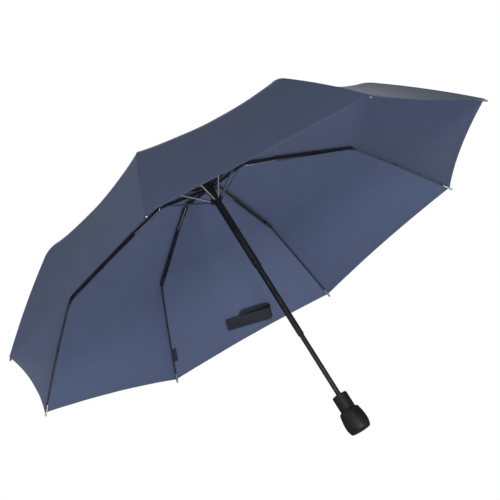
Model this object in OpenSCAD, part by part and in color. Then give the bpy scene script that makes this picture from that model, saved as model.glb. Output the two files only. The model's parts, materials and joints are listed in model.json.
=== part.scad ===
// Three-fold umbrella with eight ribs, a three-section shaft and a push-button handle, drawn open.
// Origin: centre of the flat underside of the handle. +Z runs up the shaft. Millimetres.
// Each rib lies in its own upright plane: x is the distance from the shaft axis, z is the height.

/* [Handle] */
// Height of the bulb of the grip
bulb_h = 40; // [38:0.5:42]
// Radius of the bulb at its shoulder
bulb_top_r = 17.5; // [16.5:0.1:18]
// Radius of the bulb where it is widest
bulb_max_r = 21; // [19:0.1:22]
// Height of the narrow neck above the bulb
neck_h = 30; // [28:0.5:31]
// Radius of the neck
neck_r = 13.7; // [13:0.1:14]

/* [Shaft] */
// Outer radius of the thin tube in the handle
inner_tube_r = 4.35; // [4.2:0.05:4.4]
// Outer radius of the middle tube
middle_tube_r = 5.5; // [5.4:0.05:5.6]
// Outer radius of the thick tube under the crown
upper_tube_r = 6.8; // [6.7:0.05:6.9]
// Height of the lower end of the middle tube, open
middle_tube_z = 193.5; // [190:0.5:196]
// Height of the lower end of the thick tube, open
upper_tube_z = 337.5; // [335:0.5:340]

/* [Ribs] */
// Height of the rib hinges in the crown
crown_z = 514; // [512:0.5:515]
// Distance of the rib hinges from the shaft axis
crown_hinge_r = 10.5; // [10.3:0.1:10.7]
// Length of a top rib, from the crown to its clamp hinge
top_rib_l = 85; // [84:0.1:85.5]
// Rise of a top rib in degrees
top_rib_rise = 16; // [15:0.1:16.5]
// Length of a main rib, from the clamp hinge to the middle rib
main_rib_l = 74; // [73:0.1:75]
// Fall of a main rib in degrees
main_rib_fall = 7.8; // [7:0.1:9]
// Length of a middle rib
mid_rib_l = 168; // [166:0.1:169]
// Fall of a middle rib in degrees
mid_rib_fall = 10.4; // [10:0.1:11]
// Length of an outer rib, without its tip
outer_rib_l = 211; // [208:0.1:212]
// Fall of an outer rib in degrees
outer_rib_fall = 45.2; // [44:0.1:46]
// How far an outer rib bows outwards at its middle
outer_rib_bow = 2.5; // [2:0.1:3]

/* [Runner] */
// Height of the stretcher hinges on the open runner
runner_z = 486; // [485:0.5:487]
// Distance of the stretcher hinges from the shaft axis
runner_hinge_r = 9.8; // [9.7:0.05:9.9]
// Distance from the crown hinge to the stretcher's pivot on the top rib
stretcher_at = 78; // [77:0.1:79]

/* [Canopy] */
// Thickness of the canopy's solid
canopy_t = 0.6; // [0.5:0.1:1]
// How deep a panel sags at the middle rib's outer end
panel_sag = 10; // [6:0.5:14]
// How far the hem curves in between two tips
hem_curve = 7.5; // [5:0.5:10]

/* [Hidden] */
RIBS = 8;
step = 360 / RIBS;
gap = 0.3;
neck_top = bulb_h + neck_h;

// Rib sections: outer width, wall, depth of each channel, and the pins
top_w = 6;
main_w = 4.2;
mid_w = 5.6;
wall = 0.5;
top_wall = 0.6;
rib_h = 3.6;
pin_r = 0.8;
pin_hole_r = 0.9;
eye_r = 1.6;
fold_offset = 2.4;
under_offset = 2.2;
stretcher_w = 2.6;
stretcher_h = 2.8;
stretcher_drop = 0.6;
flat_eye_w = 2.6;
clamp_w = 6.8;
clamp_h = 4.4;
clamp_l = 12;
clamp_open = 3.4;
outer_r = 1.3;
tip_r = 1.9;
tip_over = 7.5;
tip_in = 14;

// Points of a rib in its own plane
function ahead(p, l, a, up = 0) = p + l * [cos(a), sin(a)] + up * [-sin(a), cos(a)];
crown_p = [crown_hinge_r, crown_z];
clamp_p = ahead(crown_p, top_rib_l, top_rib_rise);
stretcher_p = ahead(crown_p, stretcher_at, top_rib_rise, -stretcher_drop);
main_end = ahead(clamp_p, main_rib_l, -main_rib_fall);
mid_p = ahead(clamp_p, main_rib_l, -main_rib_fall, fold_offset);
mid_end = ahead(mid_p, mid_rib_l, -mid_rib_fall, -fold_offset);
outer_p = ahead(mid_p, mid_rib_l, -mid_rib_fall, -fold_offset - under_offset);
tip_p = ahead(outer_p, outer_rib_l, -outer_rib_fall, under_offset);
runner_p = [runner_hinge_r, runner_z];
stretcher_l = norm(stretcher_p - runner_p);
stretcher_a = atan2(runner_p.y - stretcher_p.y, runner_p.x - stretcher_p.x);

// Arc of an outer rib: its radius, and half the angle that it turns through
bow_r = outer_rib_l * outer_rib_l / (8 * outer_rib_bow) + outer_rib_bow / 2;
bow_half = asin(outer_rib_l / 2 / bow_r);

// ---- helpers ----

// Turns a rib's plane to its place round the shaft, then sets x along the piece and z square to it
module in_rib(k, p, a) {
    rotate([0, 0, (k - 1) * step]) translate([p.x, 0, p.y]) rotate([0, -a, 0]) children();
}

// A round bar across a rib's plane
module across(x, z, r, w) {
    translate([x, w / 2, z]) rotate([90, 0, 0]) cylinder(h = w, r = r, $fn = 32);
}

// A block from x0 to x1 and z0 to z1, w wide, centred on the rib's plane
module slab(x0, x1, w, z0, z1) {
    translate([x0, -w / 2, z0]) cube([x1 - x0, w, z1 - z0]);
}

// A channel that is open below
module channel(x0, x1, w, t, z1, h) {
    difference() {
        slab(x0, x1, w, z1 - h, z1);
        slab(x0 - 1, x1 + 1, w - 2 * t, z1 - h - 1, z1 - t);
    }
}

// An upright tube round the shaft's axis
module tube(z0, z1, r_out, r_in) {
    difference() {
        translate([0, 0, z0]) cylinder(h = z1 - z0, r = r_out, $fn = 64);
        translate([0, 0, z0 - 1]) cylinder(h = z1 - z0 + 2, r = r_in, $fn = 64);
    }
}

// ---- handle ----

bulb_low_r = 17.6;
bulb_corner = 2.6;
bulb_widest = 0.36;
cap_r = 14.2;
cap_h = 3;
cap_lip = 2;
tube_seat_z = 12;
button_az = 45;
button_w = 9;
button_h = 15;
button_z = bulb_h + neck_h / 2;
button_deep = 7.6;
button_travel = 2.5;
button_proud = 1.6;
spring_r = 3;
spring_wire_r = 0.35;
spring_pitch = 1.15;

// Radius of the bulb at height z: it swells from the shoulder, and draws in to the base
function bulb_r(z) =
    let (t = z / bulb_h, low = bulb_widest)
    t > low
        ? bulb_top_r + (bulb_max_r - bulb_top_r) * (1 - pow((t - low) / (1 - low), 2))
        : bulb_low_r + (bulb_max_r - bulb_low_r) * (1 - pow((low - t) / low, 2));

// Half of the grip's section, with a rounded lower corner
module grip_outline() {
    polygon(concat(
        [[0, 0], [bulb_r(0) - bulb_corner, 0]],
        [for (a = [-75:15:0]) [bulb_r(bulb_corner) - bulb_corner, bulb_corner]
            + bulb_corner * [cos(a), sin(a)]],
        [for (i = [1:16]) let (z = bulb_corner + (bulb_h - 1 - bulb_corner) * i / 16) [bulb_r(z), z]],
        [[bulb_top_r - 1, bulb_h], [neck_r, bulb_h], [neck_r, neck_top - 1], [neck_r - 1, neck_top],
            [0, neck_top]]
    ));
}

module grip() {
    color([0.07, 0.07, 0.07]) difference() {
        rotate_extrude($fn = 96) grip_outline();
        translate([0, 0, -1]) cylinder(h = cap_h + 1, r = cap_r, $fn = 64);
        translate([0, 0, cap_h - 0.01]) cylinder(h = tube_seat_z - cap_h, r = cap_r - cap_lip, $fn = 64);
        translate([0, 0, tube_seat_z - 1]) cylinder(h = neck_top, r = inner_tube_r, $fn = 64);
        rotate([0, 0, button_az])
            translate([button_deep, -button_w / 2 - gap, button_z - button_h / 2 - gap])
                cube([20, button_w + 2 * gap, button_h + 2 * gap]);
    }
}

module base_cap() {
    color([0.06, 0.06, 0.06]) cylinder(h = cap_h, r = cap_r - 0.1, $fn = 64);
}

// The button is a pad with a round face that stands proud of the neck
module push_button() {
    color([0.1, 0.1, 0.1]) rotate([0, 0, button_az]) translate([0, 0, button_z - button_h / 2])
        intersection() {
            translate([button_deep + button_travel + 0.8, -button_w / 2, 0]) cube([10, button_w, button_h]);
            cylinder(h = button_h, r = neck_r + button_proud, $fn = 96);
        }
}

// Three rings behind the button, in line with its travel
module button_spring() {
    color("silver") rotate([0, 0, button_az]) for (i = [0:2])
        translate([button_deep + 0.5 + i * spring_pitch, 0, button_z]) rotate([0, 90, 0])
            rotate_extrude($fn = 48) translate([spring_r, 0]) circle(r = spring_wire_r, $fn = 16);
}

// ---- shaft ----

tube_wall = 0.6;
tube_play = 0.25;
inner_tube_in = 24;
middle_tube_in = 30;
catch_az = 55;
catch_up = 8;
catch_r = 1.5;

module inner_tube() {
    color([0.5, 0.5, 0.52])
        tube(tube_seat_z, middle_tube_z + inner_tube_in, inner_tube_r, inner_tube_r - tube_wall);
}

module middle_tube() {
    color([0.12, 0.12, 0.13])
        tube(middle_tube_z, upper_tube_z + middle_tube_in, middle_tube_r, inner_tube_r + tube_play);
}

// The thick tube has a catch hole on each side, a little above its lower end
module upper_tube() {
    color([0.08, 0.08, 0.09]) difference() {
        tube(upper_tube_z, crown_z + crown_lid, upper_tube_r, middle_tube_r + tube_play);
        for (a = [catch_az, catch_az + 180])
            rotate([0, 0, a]) translate([middle_tube_r - 0.5, 0, upper_tube_z + catch_up])
                rotate([0, 90, 0]) cylinder(h = 4, r = catch_r, $fn = 24);
    }
}

// ---- crown and runner ----

crown_r = 12.6;
crown_low = 4.5;
crown_lid = 2.5;
crown_high = 4.5;
crown_sleeve_l = 14;
crown_sleeve_t = 1.3;
slot_r = 8;
slot_w = 3.2;
crown_pin_r = 0.7;
runner_sleeve_t = 1.7;
runner_up = 2.6;
runner_notch_l = 3;
runner_l = 5.7;

// Spokes of clearance for the ends of the ribs or the stretchers
module rib_slots(z0, z1) {
    for (k = [1:RIBS]) rotate([0, 0, (k - 1) * step])
        translate([slot_r, -slot_w / 2, z0]) cube([20, slot_w, z1 - z0]);
}

// Notched crown, with a short pin across each notch for the eye of a top rib
module crown() {
    color([0.06, 0.06, 0.07]) {
        difference() {
            union() {
                tube(crown_z - crown_sleeve_l, crown_z - crown_low, upper_tube_r + crown_sleeve_t,
                    upper_tube_r);
                tube(crown_z - crown_low, crown_z + crown_lid, crown_r, upper_tube_r);
                translate([0, 0, crown_z + crown_lid])
                    cylinder(h = crown_high - crown_lid, r = crown_r, $fn = 64);
            }
            rib_slots(crown_z - crown_low - 1, crown_z + 3);
        }
        for (k = [1:RIBS]) in_rib(k, crown_p, 0) across(0, 0, crown_pin_r, slot_w + 0.4);
    }
}

ferrule_z = crown_z + crown_high + 2.7;
ferrule_r = 5;
ferrule_stem_r = 6;
ferrule_brim_r = 9.5;
ferrule_brim_t = 1.2;
ferrule_foot_h = 3.4;
ferrule_post_h = 11;
ferrule_round_r = 2;

// Screwed cap that clamps the middle of the canopy to the crown
module ferrule_cap() {
    color([0.07, 0.07, 0.08]) rotate_extrude($fn = 64) polygon(concat(
        [[0, crown_z + crown_high], [ferrule_stem_r, crown_z + crown_high]],
        [[ferrule_stem_r, ferrule_z], [ferrule_brim_r, ferrule_z]],
        [[ferrule_brim_r, ferrule_z + ferrule_brim_t]],
        [[ferrule_r + 2, ferrule_z + ferrule_foot_h - 0.6], [ferrule_r, ferrule_z + ferrule_foot_h]],
        [for (a = [0:15:90]) [ferrule_r - ferrule_round_r, ferrule_z + ferrule_post_h]
            + ferrule_round_r * [cos(a), sin(a)]],
        [[0, ferrule_z + ferrule_post_h + ferrule_round_r]]
    ));
}

// Notched sleeve that slides on the thick tube and carries the stretchers
module runner() {
    color([0.05, 0.05, 0.06]) difference() {
        union() {
            tube(runner_z - runner_l, runner_z + runner_up, upper_tube_r + runner_sleeve_t,
                upper_tube_r + gap);
            tube(runner_z - runner_notch_l, runner_z + runner_up, crown_r, upper_tube_r + gap);
        }
        rib_slots(runner_z - runner_notch_l - 1, runner_z + runner_up + 1);
    }
}

// ---- ribs ----

// Channel from the crown out to the clamp: a flat eye, the channel, and thick cheeks round the hinge
module top_rib(k) {
    inside_w = top_w - 2 * top_wall;
    color([0.09, 0.09, 0.1]) in_rib(k, crown_p, top_rib_rise) difference() {
        union() {
            across(0, 0, eye_r + 0.3, flat_eye_w);
            slab(0, 8, flat_eye_w, -1.5, 1.5);
            slab(6, 9, top_w, -rib_h / 2, rib_h / 2);
            channel(6, top_rib_l - clamp_open, top_w, top_wall, rib_h / 2, rib_h);
            difference() {
                union() {
                    slab(stretcher_at - clamp_l, top_rib_l, clamp_w, -clamp_h / 2, clamp_h / 2);
                    across(top_rib_l, 0, clamp_h / 2, clamp_w);
                }
                slab(stretcher_at - clamp_l - 1, top_rib_l + 4, inside_w, -5, clamp_h / 2 - 1);
                slab(top_rib_l - clamp_open, top_rib_l + 4, inside_w, -5, 5);
            }
            for (s = [-1, 1]) translate([0, s * 2.6, 0]) across(top_rib_l, 0, pin_r, 2.1);
            across(stretcher_at, -stretcher_drop, pin_r, clamp_w + 0.6);
        }
        across(0, 0, pin_r, 4);
    }
}

main_eye_l = 4.5;

// Channel from the clamp to the first fold, open on top at both ends where its neighbours fold in
module main_rib(k) {
    color([0.09, 0.09, 0.1]) in_rib(k, clamp_p, -main_rib_fall) {
        difference() {
            union() {
                channel(clamp_open + 0.2, main_rib_l - main_eye_l, main_w, wall, rib_h / 2, rib_h);
                difference() {
                    union() {
                        across(0, 0, rib_h / 2, main_w);
                        slab(0, main_rib_l - 1, main_w, -rib_h / 2, rib_h / 2);
                        slab(main_rib_l - 3, main_rib_l + eye_r, main_w, -rib_h / 2 + 1, fold_offset);
                        across(main_rib_l, fold_offset, eye_r, main_w);
                    }
                    slab(-5, main_rib_l + 5, main_w - 2 * wall, -5, 6);
                }
            }
            across(0, 0, pin_hole_r, main_w + 1);
        }
        across(main_rib_l, fold_offset, pin_r, mid_w + 0.6);
    }
}

stretcher_eye_r = 1.5;

// The long link from the runner to the pivot on the top rib
module stretcher(k) {
    color([0.72, 0.72, 0.74]) in_rib(k, stretcher_p, stretcher_a) difference() {
        union() {
            for (x = [0, stretcher_l]) across(x, 0, stretcher_eye_r, stretcher_w);
            slab(0, stretcher_l, stretcher_w, -stretcher_h / 2, stretcher_h / 2);
        }
        across(0, 0, pin_hole_r, 4);
        across(stretcher_l, 0, pin_r, 4);
    }
}

mid_block = 24;
mid_block_drop = 0.6;
mid_jaw_l = 3.2;
mid_jaw_gap = 3;

// Channel from the first fold to the outer bend, with a solid block and two jaws at its outer end
module mid_rib(k) {
    low = -fold_offset - rib_h / 2;
    top = -fold_offset + rib_h / 2;
    color([0.08, 0.08, 0.09]) in_rib(k, mid_p, -mid_rib_fall) {
        difference() {
            union() {
                channel(4.5, mid_rib_l - mid_block + 1, mid_w, wall, top, rib_h);
                difference() {
                    union() {
                        across(0, 0, eye_r, mid_w);
                        slab(-eye_r, 5, mid_w, low, 0);
                    }
                    slab(-4, 6, mid_w - 2 * wall, low - 1, 4);
                }
                slab(mid_rib_l - mid_block, mid_rib_l - mid_jaw_l, mid_w, low - mid_block_drop, top);
                difference() {
                    union() {
                        slab(mid_rib_l - mid_jaw_l - 0.8, mid_rib_l + 1, mid_w, low - mid_block_drop,
                            top - mid_block_drop);
                        across(mid_rib_l, -fold_offset - under_offset, outer_eye_r, mid_w);
                    }
                    slab(mid_rib_l - mid_jaw_l, mid_rib_l + 4, mid_jaw_gap, low - 4, top + 1);
                }
            }
            across(0, 0, pin_hole_r, mid_w + 1);
        }
        across(mid_rib_l, -fold_offset - under_offset, pin_r, mid_w + 0.6);
    }
}

outer_eye_r = 1.8;
outer_eye_w = 2.4;
outer_eye_low = 0.6;

// Bowed spring wire, with a flat eye below its inner end
module outer_rib(k) {
    color([0.1, 0.1, 0.11]) in_rib(k, outer_p, -outer_rib_fall) {
        difference() {
            union() {
                across(0, 0, outer_eye_r, outer_eye_w);
                slab(-1.2, 9, outer_eye_w, outer_eye_low, under_offset + 0.9);
            }
            across(0, 0, pin_hole_r, 4);
        }
        bowed_wire(2, outer_r);
    }
}

// The wire's arc, from x0 on to its outer end
module bowed_wire(x0, r) {
    start = asin((outer_rib_l / 2 - x0) / bow_r);
    translate([outer_rib_l / 2, 0, under_offset + outer_rib_bow - bow_r]) rotate([90, 0, 0])
        rotate([0, 0, 90 - bow_half]) rotate_extrude(angle = bow_half + start, $fn = 360)
            translate([bow_r, 0]) circle(r = r, $fn = 24);
}

tip_play = 0.25;

// Metal cap on the end of the wire, which the corner of the canopy is sewn to
module rib_tip(k) {
    color([0.6, 0.6, 0.62]) in_rib(k, tip_p, -outer_rib_fall - bow_half) difference() {
        union() {
            translate([-tip_in, 0, 0]) rotate([0, 90, 0])
                cylinder(h = tip_in + tip_over - tip_r, r = tip_r, $fn = 32);
            translate([tip_over - tip_r, 0, 0]) sphere(r = tip_r, $fn = 32);
        }
        translate([-tip_in - 1, 0, 0]) rotate([0, 90, 0])
            cylinder(h = tip_in + 1, r = outer_r + tip_play, $fn = 32);
    }
}

// ---- canopy ----

// How far the fabric lies above the middle of each rib, at its ends
canopy_hole_r = 7.4;
lift_crown = 5.5;
lift_clamp = 5.6;
lift_fold = 4.9;
lift_under = 7;
lift_tip = 2.6;
bend_n = 5;
bend_l = 24;
clamp_crest_a = 4;
hem_sag = 0.55;

function mix(a, b, t) = a + (b - a) * t;
function curve(a, b, c) = [for (i = [0:bend_n]) let (t = i / bend_n) mix(mix(a, b, t), mix(b, c, t), t)];
function unit(v) = v / norm(v);
function toward(a, b, d) = a + d * unit(b - a);
function square(v) = unit([-v.y, v.x]);

function bend(a, b, c) = curve(toward(b, a, bend_l), b, toward(b, c, bend_l));

// Corners of the ridge line over a rib, and the line with its bends rounded
ridge_0 = [canopy_hole_r, crown_z + lift_crown - canopy_t];
ridge_1 = ahead(clamp_p, 0, clamp_crest_a, lift_clamp);
ridge_2 = ahead(main_end, 0, -main_rib_fall, lift_fold);
ridge_3 = ahead(mid_end, 0, -(mid_rib_fall + outer_rib_fall) / 2, lift_under);
ridge_4 = ahead(tip_p, 1, -outer_rib_fall, lift_tip);
ridge = concat(
    [for (i = [0:3]) mix(ridge_0, toward(ridge_1, ridge_0, bend_l), i / 4)],
    bend(ridge_0, ridge_1, ridge_2),
    bend(ridge_1, ridge_2, ridge_3),
    [for (i = [1:3]) mix(toward(ridge_2, ridge_3, bend_l), toward(ridge_3, ridge_2, bend_l), i / 4)],
    bend(ridge_2, ridge_3, ridge_4),
    [for (i = [1:6]) let (t = i / 6)
        mix(toward(ridge_3, ridge_4, bend_l), ridge_4, t)
            + outer_rib_bow * 4 * t * (1 - t) * square(ridge_4 - ridge_3)]
);
last = len(ridge) - 1;

// Square to the ridge line, pointing out of the canopy, and along it
function along(i) = unit(ridge[min(i + 1, last)] - ridge[max(i - 1, 0)]);
function outward(i) = [-along(i).y, along(i).x];

// Depth of the sag between two ribs, from nothing at the crown to its full depth near the outer bend
function sag(i) = let (t = ridge[i].x / ridge_3.x)
    t < 1
        ? panel_sag * t * t * (3 - 2 * t)
        : mix(panel_sag, panel_sag * hem_sag, (t - 1) / (ridge_4.x / ridge_3.x - 1));
function hem_in(i) = let (t = (ridge[i].x - ridge_3.x) / (ridge_4.x - ridge_3.x))
    t > 0 ? hem_curve * t * t : 0;

GORE = 6;
function upright(p, az) = [p.x * cos(az), p.x * sin(az), p.y];
// A point of the canopy: ring i, place c round the rim, and height over the fabric
function cloth(i, c, over) =
    let (k = floor(c / GORE), f = c / GORE - k, az = k * step)
    let (u = 1 - abs(2 * f - 1), g = u * (2 - u))
    let (pull = -sag(i) * g * outward(i) - hem_in(i) * g * along(i), lift = over * outward(i))
    mix(upright(ridge[i], az), upright(ridge[i], az + step), f)
        + upright(pull, az + step / 2) + upright(lift, az + f * step);

module canopy() {
    n = RIBS * GORE;
    m = last + 1;
    rings = [for (over = [canopy_t, 0]) for (i = [0:last]) for (c = [0:n - 1]) cloth(i, c, over)];
    function at(side, i, c) = side * m * n + i * n + (c % n);
    color([0.28, 0.32, 0.42]) polyhedron(rings, concat(
        [for (i = [0:last - 1]) for (c = [0:n - 1]) each [
            [at(0, i, c), at(0, i + 1, c), at(0, i + 1, c + 1)],
            [at(0, i, c), at(0, i + 1, c + 1), at(0, i, c + 1)],
            [at(1, i, c), at(1, i + 1, c + 1), at(1, i + 1, c)],
            [at(1, i, c), at(1, i, c + 1), at(1, i + 1, c + 1)]
        ]],
        [for (c = [0:n - 1]) each [
            [at(0, 0, c), at(0, 0, c + 1), at(1, 0, c + 1)],
            [at(0, 0, c), at(1, 0, c + 1), at(1, 0, c)],
            [at(0, last, c), at(1, last, c + 1), at(0, last, c + 1)],
            [at(0, last, c), at(1, last, c), at(1, last, c + 1)]
        ]]
    ));
}

strap_l = 84;
strap_w = 25;
strap_t = 1.2;
strap_in = 42;
strap_below = 4;
strap_tilt = 3;

// Tie strap, which lies along the inside of one panel near its hem
module closure_strap() {
    middle = ahead(tip_p, -strap_in, -outer_rib_fall, -strap_below);
    color([0.16, 0.18, 0.24]) rotate([0, 0, step * 1.5])
        translate([middle.x * cos(step / 2), 0, middle.y]) rotate([0, outer_rib_fall + strap_tilt, 0])
            translate([-strap_w / 2, -strap_l / 2, -strap_t]) cube([strap_w, strap_l, strap_t]);
}

// ---- nodes ----

grip();
base_cap();
push_button();
button_spring();
inner_tube();
middle_tube();
upper_tube();
crown();
ferrule_cap();
runner();
canopy();
closure_strap();
for (k = [1:RIBS]) {
    top_rib(k);
    main_rib(k);
    stretcher(k);
    mid_rib(k);
    outer_rib(k);
    rib_tip(k);
}
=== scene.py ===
# %% [markdown]
# # A three-fold umbrella
# The hard parts, such as tubes, ribs, hub and handle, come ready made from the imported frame.
# This notebook paints them, and adds what thread, wire and cloth make: the canopy with its seams
# and hems, the closure strap, link wires, rivets and ties. Everything is in metres, with +Z up the
# shaft and the origin under the handle.

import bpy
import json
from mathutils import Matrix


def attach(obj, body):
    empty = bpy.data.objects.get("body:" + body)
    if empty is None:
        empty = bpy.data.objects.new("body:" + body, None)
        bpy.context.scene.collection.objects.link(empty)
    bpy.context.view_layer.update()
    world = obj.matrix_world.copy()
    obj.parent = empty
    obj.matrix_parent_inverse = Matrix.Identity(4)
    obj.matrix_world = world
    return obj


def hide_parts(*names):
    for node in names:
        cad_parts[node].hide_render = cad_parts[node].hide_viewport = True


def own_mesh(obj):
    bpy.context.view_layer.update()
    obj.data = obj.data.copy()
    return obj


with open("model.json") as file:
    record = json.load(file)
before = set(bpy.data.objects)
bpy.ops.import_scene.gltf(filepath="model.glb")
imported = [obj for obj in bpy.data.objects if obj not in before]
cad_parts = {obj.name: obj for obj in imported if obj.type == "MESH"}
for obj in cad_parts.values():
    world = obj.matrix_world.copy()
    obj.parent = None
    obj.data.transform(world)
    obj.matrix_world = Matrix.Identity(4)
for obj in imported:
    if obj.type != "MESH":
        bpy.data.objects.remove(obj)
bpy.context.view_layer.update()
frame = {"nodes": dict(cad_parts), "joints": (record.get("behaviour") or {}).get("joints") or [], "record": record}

# %% Other modules
import json
import math

import bmesh
import bpy
import numpy as np
from mathutils import Quaternion, Vector, noise

# %% [markdown]
# ## Places on a rib
# All eight ribs are alike, so one drawing in the rib's upright plane serves them all: x is the
# distance from the shaft and z the height. The hinges are read from the joints of the frame. The
# rib numbered k lies (k - 1) eighths of a turn round from +X.

# %% The rib's plane
RIBS = 8
EIGHTH = 2 * math.pi / RIBS
MM = 0.001
MAIN_FALL = 7.8
MID_FALL = 10.4
OUTER_FALL = 45.2
MAIN_L = 74 * MM
MID_L = 168 * MM
OUTER_L = 211 * MM
OUTER_BOW = 2.5 * MM
FOLD_OFFSET = 2.4 * MM
UNDER_OFFSET = 2.2 * MM
joints = {joint["name"]: joint for joint in frame["joints"]}


def hinge(name):
    """A hinge of the rib as (distance from the shaft, height)."""
    x, y, z = joints[name]["pos_m"]
    return np.array((math.hypot(x, y), z))


def ahead(point, length, degrees, up=0.0):
    """The point a length ahead of another at an angle, and up square to that line."""
    a = math.radians(degrees)
    run = np.array((math.cos(a), math.sin(a)))
    rise = np.array((-math.sin(a), math.cos(a)))
    return point + length * run + up * rise


crown_p = hinge("canopy_fold")
clamp_p = hinge("main_fold_1")
mid_p = hinge("mid_fold_1")
outer_p = hinge("outer_fold_1")
main_end = ahead(clamp_p, MAIN_L, -MAIN_FALL)
mid_end = ahead(mid_p, MID_L, -MID_FALL, -FOLD_OFFSET)
tip_p = ahead(outer_p, OUTER_L, -OUTER_FALL, UNDER_OFFSET)
print("rim radius %.4f m at height %.4f m" % tuple(tip_p))


def around(k, x, y, z):
    """A point of rib k's plane, with y off to its side, in the frame's own axes."""
    a = (k - 1) * EIGHTH
    return Vector((x * math.cos(a) - y * math.sin(a), x * math.sin(a) + y * math.cos(a), z))


def on_rib(k, origin, degrees, x, y, z):
    """A point given along, beside and above a rib section that starts at origin."""
    p = ahead(origin, x, degrees, z)
    return around(k, p[0], y, p[1])


# %% [markdown]
# ## Camera
# The view is from below and outside the rim, turned on its side so that the shaft leans. A long
# lens keeps the ribs from spreading too much. Aim, distance and three angles say it all, and a
# quaternion turns an upright camera about its own view line for the lean.

# %% Camera
AIM = Vector((0.0026, -0.0017, 0.3725))
AIM_DISTANCE = 2.1775
HEADING = math.radians(56.19)
PITCH = math.radians(17.71)
LEAN = math.radians(32.21)
LENS_MM = 88.75
SENSOR_MM = 36
forward = Vector((
    math.cos(PITCH) * math.cos(HEADING),
    math.cos(PITCH) * math.sin(HEADING),
    math.sin(PITCH),
))
upright = forward.to_track_quat("-Z", "Y")
camera = bpy.data.objects.new("camera", bpy.data.cameras.new("camera"))
camera.data.lens = LENS_MM
camera.data.sensor_width = SENSOR_MM
camera.rotation_mode = "QUATERNION"
camera.rotation_quaternion = Quaternion(forward, LEAN) @ upright
camera.location = AIM - forward * AIM_DISTANCE
bpy.context.scene.collection.objects.link(camera)
bpy.context.scene.camera = camera
view_up = camera.rotation_quaternion @ Vector((0, 1, 0))
view_right = camera.rotation_quaternion @ Vector((1, 0, 0))
print("camera at", [round(c, 3) for c in camera.location])

# %% [markdown]
# ## Floor and light
# The camera stands lower than the handle, so it looks up through the floor. A floor could be left
# out, but then nothing would send light up into the canopy. So the floor stays, with a faint glow,
# and is clear from behind and clear to the lamps: the background stays plain and the low lamps reach
# the insides. A lamp a little above the camera draws the soft edge of the near rim's shadow on the
# far panels, a broad low one lights the insides, and one at the left, one behind and a pale sky do
# the rest. A Light Path node shows the sky white to the camera and keeps its light low.

# %% Floor
FLOOR_SIZE = 60
FLOOR_GLOW = 0.16
FLOOR_TONE = (0.86, 0.86, 0.86, 1)
floor_mesh = bpy.data.meshes.new("floor")
bm = bmesh.new()
bmesh.ops.create_grid(bm, x_segments=1, y_segments=1, size=FLOOR_SIZE / 2)
bm.to_mesh(floor_mesh)
bm.free()
floor = bpy.data.objects.new("floor", floor_mesh)
bpy.context.scene.collection.objects.link(floor)
floor_paint = bpy.data.materials.new("floor_paint")
floor_paint.use_nodes = True
tree = floor_paint.node_tree
tree.nodes.clear()
side = tree.nodes.new("ShaderNodeNewGeometry")
matt = tree.nodes.new("ShaderNodeBsdfDiffuse")
matt.inputs["Color"].default_value = FLOOR_TONE
clear = tree.nodes.new("ShaderNodeBsdfTransparent")
either = tree.nodes.new("ShaderNodeMixShader")
out = tree.nodes.new("ShaderNodeOutputMaterial")
rays = tree.nodes.new("ShaderNodeLightPath")
open_to = tree.nodes.new("ShaderNodeMath")
open_to.operation = "MAXIMUM"
tree.links.new(side.outputs["Backfacing"], open_to.inputs[0])
tree.links.new(rays.outputs["Is Shadow Ray"], open_to.inputs[1])
tree.links.new(open_to.outputs["Value"], either.inputs["Fac"])
glow = tree.nodes.new("ShaderNodeEmission")
glow.inputs["Strength"].default_value = FLOOR_GLOW
lit = tree.nodes.new("ShaderNodeAddShader")
tree.links.new(matt.outputs["BSDF"], lit.inputs[0])
tree.links.new(glow.outputs["Emission"], lit.inputs[1])
tree.links.new(lit.outputs["Shader"], either.inputs[1])
tree.links.new(clear.outputs["BSDF"], either.inputs[2])
tree.links.new(either.outputs["Shader"], out.inputs["Surface"])
floor_mesh.materials.append(floor_paint)

# %% Sky and lamps
SKY_SHOWN = 1.0
SKY_LIGHT = 0.12
bpy.context.scene.view_settings.view_transform = "Standard"
world = bpy.data.worlds.new("sky")
world.use_nodes = True
tree = world.node_tree
tree.nodes.clear()
path = tree.nodes.new("ShaderNodeLightPath")
strength = tree.nodes.new("ShaderNodeMapRange")
strength.inputs["To Min"].default_value = SKY_LIGHT
strength.inputs["To Max"].default_value = SKY_SHOWN
pale = tree.nodes.new("ShaderNodeBackground")
pale.inputs["Color"].default_value = (1, 1, 1, 1)
out = tree.nodes.new("ShaderNodeOutputWorld")
tree.links.new(path.outputs["Is Camera Ray"], strength.inputs["Value"])
tree.links.new(strength.outputs["Result"], pale.inputs["Strength"])
tree.links.new(pale.outputs["Background"], out.inputs["Surface"])
bpy.context.scene.world = world


def lamp(name, place, size, watts):
    """A round soft lamp at a place, turned to the middle of the umbrella."""
    light = bpy.data.lights.new(name, "AREA")
    light.shape = "DISK"
    light.size = size
    light.energy = watts
    holder = bpy.data.objects.new(name, light)
    holder.location = place
    holder.rotation_mode = "QUATERNION"
    holder.rotation_quaternion = (AIM - place).to_track_quat("-Z", "Y")
    bpy.context.scene.collection.objects.link(holder)


lamp("key", camera.location + view_up * 0.45 - view_right * 0.1, size=0.2, watts=14)
lamp("fill_low", camera.location - view_up * 0.5 + view_right * 1.3, size=0.8, watts=34)
lamp("side_left", AIM - view_right * 2 - forward * 0.6, size=1.2, watts=10)
lamp("behind", AIM + forward * 1.6 + view_up * 0.9, size=1.2, watts=5)
print("lamps:", len(bpy.data.lights))

# %% [markdown]
# ## Finishes
# Every finish is procedural. Three effects come up in more than one material, so each is a node
# group: the weave of the cloth with its faint mottling, the grain of moulded plastic, and the
# scuffs of a thin black coat on steel. Each material could hold its own copy of these nodes, but a
# group is built once and mended once. It gives heights and masks that change over the surface, and
# the plain numbers stay on each shader.

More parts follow.
